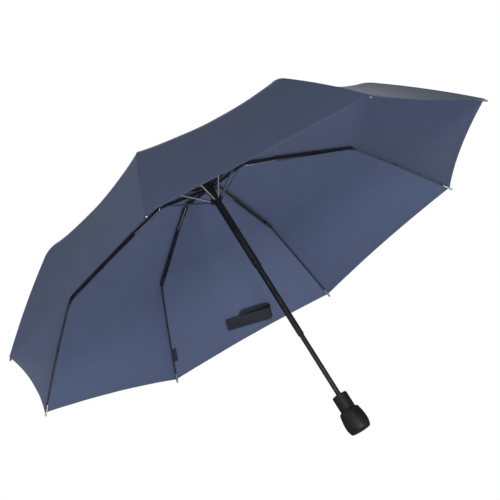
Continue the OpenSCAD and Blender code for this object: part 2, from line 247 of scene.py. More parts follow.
# %% Node helpers
def new_group(name, inputs, outputs):
    """An empty node group with its sockets, and its two end nodes."""
    group = bpy.data.node_groups.new(name, "ShaderNodeTree")
    for label, kind, value in inputs:
        socket = group.interface.new_socket(name=label, in_out="INPUT", socket_type=kind)
        if value is not None:
            socket.default_value = value
    for label in outputs:
        group.interface.new_socket(name=label, in_out="OUTPUT", socket_type="NodeSocketFloat")
    entry = group.nodes.new("NodeGroupInput")
    leave = group.nodes.new("NodeGroupOutput")
    return group, entry, leave


def math_node(tree, operation, first, second=None):
    """The result of a sum on sockets or plain numbers."""
    node = tree.nodes.new("ShaderNodeMath")
    node.operation = operation
    for socket, value in zip(node.inputs, (first, second)):
        if value is None:
            continue
        if isinstance(value, (int, float)):
            socket.default_value = value
        else:
            tree.links.new(value, socket)
    return node.outputs["Value"]


def noise_node(tree, vector, scale, detail, distortion=0.0):
    """A soft noise from 0 to 1, with scale lumps to a metre."""
    node = tree.nodes.new("ShaderNodeTexNoise")
    node.inputs["Scale"].default_value = scale
    node.inputs["Detail"].default_value = detail
    node.inputs["Distortion"].default_value = distortion
    tree.links.new(vector, node.inputs["Vector"])
    return node.outputs["Fac"]


def ranged(tree, value, low, high, to_low, to_high):
    """A value stretched from one range to another and held inside it."""
    node = tree.nodes.new("ShaderNodeMapRange")
    for label, number in (("From Min", low), ("From Max", high), ("To Min", to_low), ("To Max", to_high)):
        node.inputs[label].default_value = number
    tree.links.new(value, node.inputs["Value"])
    return node.outputs["Result"]


def two_noises(tree, first, second):
    """Six tenths of one noise and four tenths of another."""
    most = math_node(tree, "MULTIPLY", first, 0.6)
    rest = math_node(tree, "MULTIPLY", second, 0.4)
    return math_node(tree, "ADD", most, rest)


# %% Effect: woven cloth
# The pattern's coordinates are in metres along the warp and the weft.
THREAD_PITCH = 0.55 * MM
weave, entry, leave = new_group(
    "weave",
    [("Vector", "NodeSocketVector", None), ("Threads per metre", "NodeSocketFloat", 1 / THREAD_PITCH)],
    ["Height", "Mottle", "Crease"],
)
parts = weave.nodes.new("ShaderNodeSeparateXYZ")
weave.links.new(entry.outputs["Vector"], parts.inputs["Vector"])
turn = math_node(weave, "MULTIPLY", entry.outputs["Threads per metre"], math.pi)
warp = math_node(weave, "SINE", math_node(weave, "MULTIPLY", parts.outputs["X"], turn))
weft = math_node(weave, "SINE", math_node(weave, "MULTIPLY", parts.outputs["Y"], turn))
crossings = math_node(weave, "MULTIPLY", warp, weft)
weave.links.new(ranged(weave, crossings, -1, 1, 0, 1), leave.inputs["Height"])
blotch = noise_node(weave, entry.outputs["Vector"], 55, 5)
slub = noise_node(weave, entry.outputs["Vector"], 420, 2)
weave.links.new(ranged(weave, two_noises(weave, blotch, slub), 0.3, 0.7, 0, 1), leave.inputs["Mottle"])
weave.links.new(noise_node(weave, entry.outputs["Vector"], 26, 3, 0.6), leave.inputs["Crease"])

# %% Effect: moulded grain
grain, entry, leave = new_group(
    "moulded_grain",
    [("Vector", "NodeSocketVector", None), ("Scale", "NodeSocketFloat", 2600.0)],
    ["Height", "Mottle"],
)
cells = grain.nodes.new("ShaderNodeTexVoronoi")
grain.links.new(entry.outputs["Vector"], cells.inputs["Vector"])
grain.links.new(entry.outputs["Scale"], cells.inputs["Scale"])
grain.links.new(cells.outputs["Distance"], leave.inputs["Height"])
patches = noise_node(grain, entry.outputs["Vector"], 90, 4)
grain.links.new(ranged(grain, patches, 0.35, 0.65, 0, 1), leave.inputs["Mottle"])

# %% Effect: scuffs on a thin coat
scuffs, entry, leave = new_group(
    "scuffs",
    [("Vector", "NodeSocketVector", None), ("Spread", "NodeSocketFloat", 0.64)],
    ["Bare", "Mottle", "Height"],
)
fine = noise_node(scuffs, entry.outputs["Vector"], 900, 6)
broad = noise_node(scuffs, entry.outputs["Vector"], 60, 3)
over = math_node(scuffs, "SUBTRACT", two_noises(scuffs, fine, broad), entry.outputs["Spread"])
scuffs.links.new(ranged(scuffs, over, 0, 0.04, 0, 1), leave.inputs["Bare"])
scuffs.links.new(ranged(scuffs, broad, 0.3, 0.7, 0, 1), leave.inputs["Mottle"])
scuffs.links.new(fine, leave.inputs["Height"])
print("effects:", [group.name for group in bpy.data.node_groups])


# %% [markdown]
# ## Materials
# An umbrella has four kinds of finish: moulded black plastic, steel under a thin black coat, bare
# plated steel, and woven cloth. One function makes each kind, and a row of tones and numbers makes
# each material. Two tones close to each other, mixed by an effect's mask, look less flat than one.

# %% Material helpers
def paint(name, roughness, metallic=0.0, **plain):
    """A material with one shader and its plain numbers, named as on the shader."""
    mat = bpy.data.materials.new(name)
    mat.use_nodes = True
    mat.node_tree.nodes.clear()
    shader = mat.node_tree.nodes.new("ShaderNodeBsdfPrincipled")
    out = mat.node_tree.nodes.new("ShaderNodeOutputMaterial")
    mat.node_tree.links.new(shader.outputs["BSDF"], out.inputs["Surface"])
    shader.inputs["Roughness"].default_value = roughness
    shader.inputs["Metallic"].default_value = metallic
    for label, value in plain.items():
        shader.inputs[label.replace("_", " ")].default_value = value
    return mat, shader


def effect(mat, group, coordinates="Object", **values):
    """An effect's group placed in a material, over the piece's own coordinates."""
    tree = mat.node_tree
    place = tree.nodes.new("ShaderNodeTexCoord")
    node = tree.nodes.new("ShaderNodeGroup")
    node.node_tree = group
    tree.links.new(place.outputs[coordinates], node.inputs["Vector"])
    for label, value in values.items():
        node.inputs[label.replace("_", " ")].default_value = value
    return node


# A Mix node shares its labels between kinds of value, so its colour sockets go by number.
COLOUR_A, COLOUR_B, COLOUR_OUT = 6, 7, 2


def two_tone(mat, shader, mask, dark, light):
    """The base colour goes from dark to light with the mask."""
    tree = mat.node_tree
    blend = tree.nodes.new("ShaderNodeMix")
    blend.data_type = "RGBA"
    blend.inputs[COLOUR_A].default_value = (*dark, 1)
    blend.inputs[COLOUR_B].default_value = (*light, 1)
    tree.links.new(mask, blend.inputs["Factor"])
    tree.links.new(blend.outputs[COLOUR_OUT], shader.inputs["Base Color"])


def bump(mat, shader, layers):
    """Bumps on top of each other: (height, strength, depth in metres) for each."""
    tree = mat.node_tree
    below = None
    for height, strength, depth in layers:
        node = tree.nodes.new("ShaderNodeBump")
        node.inputs["Strength"].default_value = strength
        node.inputs["Distance"].default_value = depth
        tree.links.new(height, node.inputs["Height"])
        if below:
            tree.links.new(below, node.inputs["Normal"])
        below = node.outputs["Normal"]
    tree.links.new(below, shader.inputs["Normal"])


# %% Kinds of finish
def cloth_paint(name, dark, light, sheen):
    """Woven cloth with soft creases and a slight sheen."""
    mat, shader = paint(name, 0.62, Sheen_Weight=sheen, Sheen_Roughness=0.45, Specular_IOR_Level=0.3)
    shader.inputs["Sheen Tint"].default_value = (0.62, 0.66, 0.75, 1)
    node = effect(mat, weave, "UV")
    two_tone(mat, shader, node.outputs["Mottle"], dark, light)
    bump(mat, shader, [(node.outputs["Crease"], 0.35, 1.2 * MM), (node.outputs["Height"], 0.25, 0.06 * MM)])
    return mat


def plastic_paint(name, dark, light, roughness, scale, depth):
    """Moulded plastic, with scale grains to a metre."""
    mat, shader = paint(name, roughness, Specular_IOR_Level=0.4)
    node = effect(mat, grain, Scale=scale)
    two_tone(mat, shader, node.outputs["Mottle"], dark, light)
    rough = ranged(mat.node_tree, node.outputs["Mottle"], 0, 1, roughness - 0.04, roughness + 0.05)
    mat.node_tree.links.new(rough, shader.inputs["Roughness"])
    bump(mat, shader, [(node.outputs["Height"], 0.5, depth)])
    return mat


def coated_paint(name, coat, roughness, spread):
    """A thin coat on steel; a higher spread leaves fewer scuffs."""
    mat, shader = paint(name, roughness, Specular_IOR_Level=0.5, Coat_Weight=0.25, Coat_Roughness=0.2)
    node = effect(mat, scuffs, Spread=spread)
    two_tone(mat, shader, node.outputs["Bare"], coat, BARE_STEEL)
    rough = ranged(mat.node_tree, node.outputs["Mottle"], 0, 1, roughness - 0.06, roughness + 0.08)
    mat.node_tree.links.new(rough, shader.inputs["Roughness"])
    mat.node_tree.links.new(node.outputs["Bare"], shader.inputs["Metallic"])
    bump(mat, shader, [(node.outputs["Height"], 0.12, 0.05 * MM)])
    return mat


def metal_paint(name, dull, bright, roughness):
    """Bare or plated metal, a little duller in places."""
    mat, shader = paint(name, roughness, 1.0)
    node = effect(mat, scuffs, Spread=0.5)
    two_tone(mat, shader, node.outputs["Mottle"], dull, bright)
    rough = ranged(mat.node_tree, node.outputs["Height"], 0.3, 0.7, roughness - 0.08, roughness + 0.1)
    mat.node_tree.links.new(rough, shader.inputs["Roughness"])
    bump(mat, shader, [(node.outputs["Height"], 0.2, 0.05 * MM)])
    return mat


# %% The materials
BARE_STEEL = (0.34, 0.34, 0.36)
# Dark and light tone, roughness, grains per metre and their depth.
PLASTICS = {
    "grip_plastic": ((0.0045, 0.0045, 0.0046), (0.007, 0.007, 0.007), 0.56, 2600, 0.05 * MM),
    "button_plastic": ((0.014, 0.014, 0.015), (0.018, 0.018, 0.019), 0.42, 3200, 0.03 * MM),
    "hub_plastic": ((0.008, 0.008, 0.009), (0.013, 0.013, 0.014), 0.38, 1900, 0.03 * MM),
}
# Tone of the coat, roughness and spread of the scuffs.
COATS = {
    "tube_plain": ((0.012, 0.012, 0.013), 0.3, 0.72),
    "tube_painted": ((0.008, 0.008, 0.009), 0.32, 0.72),
    "rib_painted": ((0.01, 0.01, 0.012), 0.36, 0.66),
    "wire_painted": ((0.009, 0.009, 0.011), 0.34, 0.7),
}
# Dull and bright tone, and roughness.
METALS = {
    "spring_steel": ((0.5, 0.5, 0.52), (0.68, 0.68, 0.7), 0.3),
    "link_steel": ((0.46, 0.47, 0.49), (0.56, 0.57, 0.59), 0.24),
    "tip_metal": ((0.3, 0.31, 0.33), (0.42, 0.43, 0.45), 0.36),
}
# Dark and light tone, and sheen.
CLOTHS = {
    "canopy_fabric": ((0.073, 0.1, 0.184), (0.084, 0.113, 0.206), 0.16),
    "strap_fabric": ((0.01, 0.012, 0.02), (0.015, 0.0175, 0.028), 0.1),
    "thread": ((0.1, 0.125, 0.2), (0.13, 0.155, 0.235), 0.25),
}
KINDS = ((plastic_paint, PLASTICS), (coated_paint, COATS), (metal_paint, METALS), (cloth_paint, CLOTHS))
paints = {}
for kind, table in KINDS:
    for name, values in table.items():
        paints[name] = kind(name, *values)
for row in frame["record"]["subparts"]:
    mesh = frame["nodes"][row["node"]].data
    mesh.materials.clear()
    mesh.materials.append(paints[row["material_slot"]])
print("materials:", sorted(paints))

# %% [markdown]
# ## The canopy's surface
# Eight panels of cloth are sewn into one skin and stretched over the ribs. Over a rib it follows
# the ridge line: straight runs with rounded bends at the hinges, and a slight bow over the outer
# wires. Between two ribs it sags, and the hem curves in. A cloth simulation could drape it, but
# the tips and hinges fix the shape so closely that a formula is surer. The surface is one formula
# of ring, panel and place across the panel, so every piece cut from it meets its neighbours exactly.

# %% The ridge line over a rib
LIFT_CROWN = 4.9 * MM
LIFT_CLAMP = 5.6 * MM
LIFT_FOLD = 4.9 * MM
LIFT_UNDER = 7 * MM
LIFT_TIP = 2.6 * MM
CLAMP_CREST = 4
BEND_L = 24 * MM
BEND_ROWS = 8
ROW_L = 6.5 * MM
CANOPY_HOLE_R = 7.4 * MM
SECTIONS = ("top", "main", "mid", "outer")
OUTER = SECTIONS.index("outer")
corners = [
    np.array((CANOPY_HOLE_R, crown_p[1] + LIFT_CROWN)),
    ahead(clamp_p, 0, CLAMP_CREST, LIFT_CLAMP),
    ahead(main_end, 0, -MAIN_FALL, LIFT_FOLD),
    ahead(mid_end, 0, -(MID_FALL + OUTER_FALL) / 2, LIFT_UNDER),
    ahead(tip_p, 1 * MM, -OUTER_FALL, LIFT_TIP),
]


def unit(v):
    """The same direction, one long."""
    return v / np.linalg.norm(v)


def toward(a, b, d):
    """The point d metres from a on the way to b."""
    return a + d * unit(b - a)


def straight(a, b):
    """Points from a on, short of b, about a row apart."""
    n = max(1, round(np.linalg.norm(b - a) / ROW_L))
    return [a + (b - a) * i / n for i in range(n)]


rows, starts = [], [0]
for section in range(len(SECTIONS)):
    a, b = corners[section], corners[section + 1]
    begin = toward(a, b, BEND_L) if section else a
    if section < OUTER:
        rows += straight(begin, toward(b, a, BEND_L))
        before, after = toward(b, a, BEND_L), toward(b, corners[section + 2], BEND_L)
        for i in range(BEND_ROWS):
            t = i / BEND_ROWS
            if i == BEND_ROWS // 2:
                starts.append(len(rows))
            rows.append((1 - t) ** 2 * before + 2 * t * (1 - t) * b + t * t * after)
    else:
        ahead_to_tip = unit(b - a)
        square = np.array((-ahead_to_tip[1], ahead_to_tip[0]))
        run = straight(begin, b) + [b]
        for i, p in enumerate(run):
            t = i / (len(run) - 1)
            rows.append(p + OUTER_BOW * 4 * t * (1 - t) * square)
starts.append(len(rows) - 1)
ridge = np.array(rows)
slope = np.gradient(ridge, axis=0)
along = slope / np.linalg.norm(slope, axis=1)[:, None]
outward = np.stack((-along[:, 1], along[:, 0]), axis=1)
steps = np.linalg.norm(np.diff(ridge, axis=0), axis=1)
ridge_s = np.concatenate(([0], np.cumsum(steps)))
print(len(ridge), "rows, ridge line %.3f m long, sections start at rows" % ridge_s[-1], starts)

# %% Sag, hem and ripples
# The ripples are what stretched cloth shows: slack folds between the ribs, and fine pulls that fan
# out from each tip. They vanish at the ribs, where the cloth is held.
PANEL_SAG = 10 * MM
HEM_SAG = 0.55
HEM_CURVE = 7.5 * MM
HALF_COLUMNS = 20
COLUMNS = 2 * HALF_COLUMNS + 1
CLOTH_T = 0.3 * MM
SOFT_RIPPLE = 0.9 * MM
SOFT_ACROSS = 16
SOFT_DOWN = 7
PULL_RIPPLE = 0.5 * MM
PULL_REACH = 90 * MM
PULLS = 26
PULL_START = 30 * MM
CALM_EDGE = 20 * MM
bend_r = corners[OUTER][0]
reach = (ridge[:, 0] - bend_r) / (corners[-1][0] - bend_r)
inner = np.clip(ridge[:, 0] / bend_r, 0, 1)
sag = np.where(reach > 0, PANEL_SAG * (1 + (HEM_SAG - 1) * reach), PANEL_SAG * inner**2 * (3 - 2 * inner))
hem_in = HEM_CURVE * np.clip(reach, 0, 1) ** 2


def ripple(panel, i, f):
    """Height of the ripples at ring i, a share f across a panel."""
    chord = 2 * ridge[i, 0] * math.sin(EIGHTH / 2)
    held = min(1.0, 4 * f * (1 - f))
    across, down = (f - 0.5) * chord, ridge_s[i]
    soft = noise.noise(Vector((across * SOFT_ACROSS, down * SOFT_DOWN, 5.3 * panel)))
    to_hem = ridge_s[-1] - down
    from_tip = min(f, 1 - f) * chord
    distance = math.hypot(to_hem, from_tip)
    spread = math.atan2(to_hem, from_tip + 1e-6)
    fade = math.exp(-distance / PULL_REACH) * min(1, distance / PULL_START)
    pull = math.sin(PULLS * spread + panel) * fade * min(1.0, from_tip / CALM_EDGE)
    size = min(1.0, ridge[i, 0] / corners[2][0])
    return held * size * (SOFT_RIPPLE * soft + PULL_RIPPLE * pull)


def on_cloth(panel, i, f, over=0.0):
    """A point of the cloth on the panel that starts at rib `panel`, and height over it."""
    u = 1 - abs(2 * f - 1)
    g = u * (2 - u)
    a, b = panel * EIGHTH, (panel + 1) * EIGHTH
    middle, here = (a + b) / 2, a + f * EIGHTH
    pull = (ripple(panel, i, f) - sag[i] * g) * outward[i] - hem_in[i] * g * along[i]
    x = ridge[i, 0] * ((1 - f) * math.cos(a) + f * math.cos(b))
    y = ridge[i, 0] * ((1 - f) * math.sin(a) + f * math.sin(b))
    lift = over * outward[i]
    return np.array((
        x + pull[0] * math.cos(middle) + lift[0] * math.cos(here),
        y + pull[0] * math.sin(middle) + lift[0] * math.sin(here),
        ridge[i, 1] + pull[1] + lift[1],
    ))


last = len(ridge) - 1
shares = np.linspace(0, 1, COLUMNS)
panels = np.array([[[on_cloth(p, i, f) for f in shares] for i in range(last + 1)] for p in range(RIBS)])
d_row, d_column = np.gradient(panels, axis=1), np.gradient(panels, axis=2)
panel_normals = np.cross(d_row, d_column)
panel_normals /= np.linalg.norm(panel_normals, axis=3)[..., None]
if panel_normals[0, last // 2, HALF_COLUMNS, 2] < 0:
    panel_normals = -panel_normals
chords = 2 * ridge[:, 0] * math.sin(EIGHTH / 2)
panel_uv = np.zeros((last + 1, COLUMNS, 2))
panel_uv[..., 0] = chords[:, None] * (shares - 0.5)
panel_uv[..., 1] = -ridge_s[:, None]
print("canopy grid:", panels.shape, "hem side %.3f m" % chords[-1])


# %% [markdown]
# ## Sheets with two faces
# Thin cloth still needs a front, a back and an edge, or it can't be printed and its shading goes
# wrong. A flat grid from bmesh is bent onto the surface twice, half a thickness to each side, and
# the two borders are bridged. The normals are then taken from the surface itself, so that shading
# runs on unbroken where two pieces meet.

# %% Cloth helpers
def as_piece(name, mesh, paint_name):
    """A mesh as an object in the scene, in one finish."""
    mesh.materials.clear()
    mesh.materials.append(paints[paint_name])
    piece = bpy.data.objects.new(name, mesh)
    bpy.context.scene.collection.objects.link(piece)
    return piece


def finish_mesh(bm, name, paint_name):
    """The piece that a bmesh holds."""
    mesh = bpy.data.meshes.new(name)
    bm.to_mesh(mesh)
    bm.free()
    return as_piece(name, mesh, paint_name)


def cloth_uv(across, down):
    """Places in flat cloth, in metres, for columns across it and rows down it."""
    uv = np.zeros((len(down), len(across), 2))
    uv[..., 0] = across
    uv[..., 1] = np.asarray(down)[:, None]
    return uv


def grid_face(bm, points, layer):
    """A grid of faces through points, rows by columns, with its place kept in each corner's tag."""
    n_rows, n_columns = points.shape[:2]
    made = bmesh.ops.create_grid(bm, x_segments=n_columns - 1, y_segments=n_rows - 1, size=1)["verts"]
    tag = bm.verts.layers.int["place"]
    for v in made:
        j = round((v.co.x + 1) / 2 * (n_columns - 1))
        i = round((v.co.y + 1) / 2 * (n_rows - 1))
        v[tag] = 1 + layer * n_rows * n_columns + i * n_columns + j
        v.co = points[i, j]
    return {face for v in made for face in v.link_faces}


def cloth_sheet(name, points, normals, uv, thickness, paint_name):
    """A closed thin sheet halfway round the points, with smooth normals on both faces."""
    n_rows, n_columns = points.shape[:2]
    per_layer = n_rows * n_columns
    bm = bmesh.new()
    tag = bm.verts.layers.int.new("place")
    uv_layer = bm.loops.layers.uv.new("cloth")
    for layer, sign in enumerate((1, -1)):
        faces = grid_face(bm, points + normals * sign * thickness / 2, layer)
        one = next(iter(faces))
        one.normal_update()
        place = (one.verts[0][tag] - 1) % per_layer
        facing = one.normal.dot(Vector(normals.reshape(-1, 3)[place]))
        if facing * sign < 0:
            bmesh.ops.reverse_faces(bm, faces=list(faces))
    border = [edge for edge in bm.edges if edge.is_boundary]
    bmesh.ops.bridge_loops(bm, edges=border)
    flat_uv, flat_normals = uv.reshape(-1, 2), normals.reshape(-1, 3)
    loop_normals = []
    for face in bm.faces:
        face.smooth = True
        layers = {(v[tag] - 1) // per_layer for v in face.verts}
        sign = 0 if len(layers) == 2 else 1 - 2 * layers.pop()
        for loop in face.loops:
            place = (loop.vert[tag] - 1) % per_layer
            loop[uv_layer].uv = flat_uv[place]
            loop_normals.append(tuple(sign * flat_normals[place]))
    piece = finish_mesh(bm, name, paint_name)
    piece.data.normals_split_custom_set(loop_normals)
    piece.data.attributes.remove(piece.data.attributes["place"])
    return piece


def strands(name, lines, radius, paint_name, closed=False, sides=2):
    """Round wires or threads through lists of points, as one mesh."""
    curve = bpy.data.curves.new(name, "CURVE")
    curve.dimensions = "3D"
    curve.bevel_depth = radius
    curve.bevel_resolution = sides
    curve.use_fill_caps = not closed
    for line in lines:
        spline = curve.splines.new("POLY")
        spline.points.add(len(line) - 1)
        for point, place in zip(spline.points, line):
            point.co = (*place, 1)
        spline.use_cyclic_u = closed
        spline.use_smooth = True
    holder = bpy.data.objects.new(name + "_line", curve)
    bpy.context.scene.collection.objects.link(holder)
    bpy.context.view_layer.update()
    mesh = bpy.data.meshes.new_from_object(holder.evaluated_get(bpy.context.evaluated_depsgraph_get()))
    bpy.data.objects.remove(holder)
    mesh.name = name
    return as_piece(name, mesh, paint_name)


# %% [markdown]
# ## Cutting the canopy along its ribs and joints
# When the umbrella closes, each stretch of cloth swings with the rib section that carries it and
# falls into narrow pleats beside it. One skin bent at every hinge would stretch out of shape, so
# the skin is cut into half panels, one for each side of each rib section. Each rides on its section.
# At rest the cuts can't be seen.


def pleat(piece):
    """The piece gets a mesh of its own, shared with no other piece."""
    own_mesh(piece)


def half_panel(grid, side):
    """The columns of a panel grid that belong to the rib on its side."""
    return grid[..., :HALF_COLUMNS + 1, :] if side > 0 else grid[..., HALF_COLUMNS:, :]


def cut_size(points):
    """Width, length and area of the flat cut, from the distances in the cloth."""
    across = np.linalg.norm(np.diff(points, axis=1), axis=2).sum(axis=1)
    down = np.linalg.norm(np.diff(points, axis=0), axis=2).mean(axis=1)
    area = float(((across[1:] + across[:-1]) / 2 * down).sum())
    return (float(across.max()), float(down.sum())), area


cloth_area = 0.0
for k in range(1, RIBS + 1):
    for side, word in ((1, "left"), (-1, "right")):
        panel = k - 1 if side > 0 else (k - 2) % RIBS
        for section, label in enumerate(SECTIONS):
            first, final = starts[section], starts[section + 1] + 1
            points = half_panel(panels[panel, first:final], side)
            normals = half_panel(panel_normals[panel, first:final], side)
            uv = half_panel(panel_uv[first:final], side)
            piece = cloth_sheet(f"canopy_{label}_{k}_{word}", points, normals, uv, CLOTH_T, "canopy_fabric")
            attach(piece, f"{label}_{k}")
            pleat(piece)
            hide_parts("canopy")
            flat, area = cut_size(points)
            cloth_area += area
print("canopy: %d pieces, %.3f m2 of cloth" % (2 * len(SECTIONS) * RIBS, cloth_area))

# %% [markdown]
# ## Seams, hem and stitching
# Each seam is a doubled strip on the outside and a tape on the inside, along every rib. The hem is
# turned in and stitched. Stitches could be a bump on the cloth, but a bump has no edge when it is
# seen from the side. So they are short pieces of thread that lie on the cloth, two rows to a
# seam and one along each face of the hem.

# %% Seams over the ribs
SEAM_HALF = 2 * MM
TAPE_HALF = 3.2 * MM
SEAM_T = 0.25 * MM
SEAM_LIFT = 0.32 * MM
TAPE_LIFT = -0.34 * MM
STRIP_COLUMNS = 7
STITCH_PITCH = 3.2 * MM
STITCH_L = 2.2 * MM
STITCH_ASIDE = 1.3 * MM
STITCH_LIFT = 0.46 * MM
THREAD_R = 0.16 * MM
# A stitch's bends: share of its length, and height in thread radii.
STITCH_BENDS = ((-0.5, -0.6), (-0.38, 0.7), (0.38, 0.7), (0.5, -0.6))


def beside_ridge(k, i, offset, over):
    """A point of the cloth at ring i, offset metres to rib k's left (or right, if negative)."""
    chord = 2 * ridge[i, 0] * math.sin(EIGHTH / 2)
    f = min(abs(offset) / chord, 0.45)
    if offset >= 0:
        return on_cloth(k - 1, i, f, over)
    return on_cloth((k - 2) % RIBS, i, 1 - f, over)


def surface_normals(points):
    """Unit normals of a grid of points, turned to the outside of the canopy."""
    n = np.cross(np.gradient(points, axis=0), np.gradient(points, axis=1))
    n /= np.linalg.norm(n, axis=2)[..., None]
    return n if n[n.shape[0] // 2, n.shape[1] // 2, 2] > 0 else -n


def along_strip(name, k, first, final, half, over):
    """A strip of cloth over rib k from ring to ring, half its width to each side."""
    offsets = np.linspace(-half, half, STRIP_COLUMNS)
    points = np.array([[beside_ridge(k, i, y, over) for y in offsets] for i in range(first, final)])
    uv = cloth_uv(offsets, ridge_s[first:final])
    return cloth_sheet(name, points, surface_normals(points), uv, SEAM_T, "canopy_fabric")


def stitch_lines(path, normals):
    """Short threads laid along a dense path, each dipping into the cloth at its ends."""
    lengths = np.linalg.norm(np.diff(path, axis=0), axis=1)
    s = np.concatenate(([0], np.cumsum(lengths)))
    lines = []
    for at in np.arange(STITCH_PITCH / 2, s[-1] - STITCH_PITCH / 2, STITCH_PITCH):
        line = []
        for t, lift in STITCH_BENDS:
            where = at + t * STITCH_L
            p = [np.interp(where, s, path[:, c]) for c in range(3)]
            n = [np.interp(where, s, normals[:, c]) for c in range(3)]
            line.append(np.array(p) + lift * THREAD_R * np.array(n))
        lines.append(line)
    return lines


seam_count = 0
for k in range(1, RIBS + 1):
    for section, label in enumerate(SECTIONS):
        first, final = starts[section], starts[section + 1] + 1
        seam = along_strip(f"seam_{label}_{k}", k, first, final, SEAM_HALF, SEAM_LIFT)
        tape = along_strip(f"tape_{label}_{k}", k, first, final, TAPE_HALF, TAPE_LIFT)
        lines = []
        for y in (-STITCH_ASIDE, STITCH_ASIDE):
            path = np.array([beside_ridge(k, i, y, STITCH_LIFT) for i in range(first, final)])
            lines += stitch_lines(path, panel_normals[k - 1, first:final, 0])
        stitches = strands(f"stitches_{label}_{k}", lines, THREAD_R, "thread", sides=1)
        for piece in (seam, tape, stitches):
            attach(piece, f"{label}_{k}")
        seam_count += len(lines)
print("seams:", 2 * len(SECTIONS) * RIBS, "strips,", seam_count, "stitches")

# %% Hem
HEM_W = 7 * MM
HEM_STITCH = 5.2 * MM
HEM_LIFT = -0.36 * MM
HEM_ROWS = 4
STITCH_SAMPLES = 60
# Height over the cloth of the stitches outside and inside, and the way they face.
HEM_FACES = ((0.18 * MM, 1), (-0.5 * MM, -1))


def near_hem(panel, f, back, over):
    """A point of the cloth, back metres short of the hem, at height over it."""
    s = ridge_s[last] - back
    i = int(np.searchsorted(ridge_s, s)) - 1
    t = (s - ridge_s[i]) / (ridge_s[i + 1] - ridge_s[i])
    return (1 - t) * on_cloth(panel, i, f, over) + t * on_cloth(panel, i + 1, f, over)


for k in range(1, RIBS + 1):
    for side, word in ((1, "left"), (-1, "right")):
        panel = k - 1 if side > 0 else (k - 2) % RIBS
        fractions = shares[:HALF_COLUMNS + 1] if side > 0 else shares[HALF_COLUMNS:]
        backs = np.linspace(HEM_W, 0.1 * MM, HEM_ROWS)
        points = np.array([[near_hem(panel, f, back, HEM_LIFT) for f in fractions] for back in backs])
        uv = cloth_uv((fractions - 0.5) * chords[-1], backs)
        band = cloth_sheet(f"hem_{k}_{word}", points, surface_normals(points), uv, SEAM_T, "canopy_fabric")
        dense = np.linspace(fractions[0], fractions[-1], STITCH_SAMPLES)
        lines = []
        for over, way in HEM_FACES:
            path = np.array([near_hem(panel, f, HEM_STITCH, over) for f in dense])
            out_of = np.array([way * panel_normals[panel, last, round(f * (COLUMNS - 1))] for f in dense])
            lines += stitch_lines(path, out_of)
        stitches = strands(f"hem_stitches_{k}_{word}", lines, THREAD_R, "thread", sides=1)
        for piece in (band, stitches):
            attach(piece, f"outer_{k}")
            pleat(piece)
print("hem:", 2 * RIBS, "bands")

# %% [markdown]
# ## Crown patch
# A round of doubled cloth under the ferrule covers the points of the eight panels, with one ring of
# stitches. It is a body of revolution, so a drawn profile is spun once round the shaft. The same
# spin makes the rivet heads later.

# %% Crown patch
PATCH_R = 19 * MM
PATCH_HOLE_R = 7.6 * MM
PATCH_T = 0.5 * MM
PATCH_LIFT = 0.5 * MM
PATCH_STITCH_R = 14.5 * MM
PATCH_STITCH_LIFT = 1.12 * MM
PATCH_STEPS = 64
RING_SAMPLES = 200
SHARP_SPUN = math.radians(35)


def spun(name, profile, centre, direction, paint_name, turns):
    """A closed profile of (radius, height) spun round a line through centre along direction."""
    bm = bmesh.new()
    ring = [bm.verts.new((r, 0, z)) for r, z in profile]
    edges = [bm.edges.new((ring[i], ring[(i + 1) % len(ring)])) for i in range(len(ring))]
    bmesh.ops.spin(
        bm,
        geom=ring + edges,
        axis=(0, 0, 1),
        cent=(0, 0, 0),
        angle=2 * math.pi,
        steps=turns,
        use_merge=True,
    )
    bmesh.ops.dissolve_degenerate(bm, dist=1e-7, edges=bm.edges)
    bmesh.ops.recalc_face_normals(bm, faces=bm.faces)
    for face in bm.faces:
        face.smooth = True
    for edge in bm.edges:
        if edge.is_manifold and edge.calc_face_angle() > SHARP_SPUN:
            edge.smooth = False
    turn = Vector(direction).to_track_quat("Z", "Y").to_matrix()
    bmesh.ops.rotate(bm, verts=bm.verts, cent=(0, 0, 0), matrix=turn)
    bmesh.ops.translate(bm, verts=bm.verts, vec=centre)
    return finish_mesh(bm, name, paint_name)


def ridge_height(r):
    """Height of the ridge line r metres from the shaft."""
    return float(np.interp(r, ridge[:, 0], ridge[:, 1]))


under = [(r, ridge_height(r) + PATCH_LIFT) for r in np.linspace(PATCH_HOLE_R, PATCH_R, 6)]
over = [(r, z + PATCH_T) for r, z in reversed(under)]
over[0] = (PATCH_R - 0.2 * MM, over[0][1] - 0.1 * MM)
patch = spun("crown_patch", under + over, (0, 0, 0), (0, 0, 1), "canopy_fabric", PATCH_STEPS)
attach(patch, "shaft_top")
stitch_z = ridge_height(PATCH_STITCH_R) + PATCH_STITCH_LIFT
ring = [
    (PATCH_STITCH_R * math.cos(a), PATCH_STITCH_R * math.sin(a), stitch_z)
    for a in np.linspace(0, 2 * math.pi, RING_SAMPLES)
]
lines = stitch_lines(np.array(ring), np.tile((0.0, 0.0, 1.0), (RING_SAMPLES, 1)))
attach(strands("crown_patch_stitches", lines, THREAD_R, "thread", sides=1), "shaft_top")
print("crown patch:", len(lines), "stitches")

# %% [markdown]
# ## Closure strap
# A doubled strip of the same cloth, sewn to the inside of one panel near the hem at one end. It
# hangs loose, turns back in an open loop and tucks in behind itself. Its way is simple enough to
# draw, so no simulation is needed: a path in the panel's own plane, with a width of cloth along it
# and a slight curl.

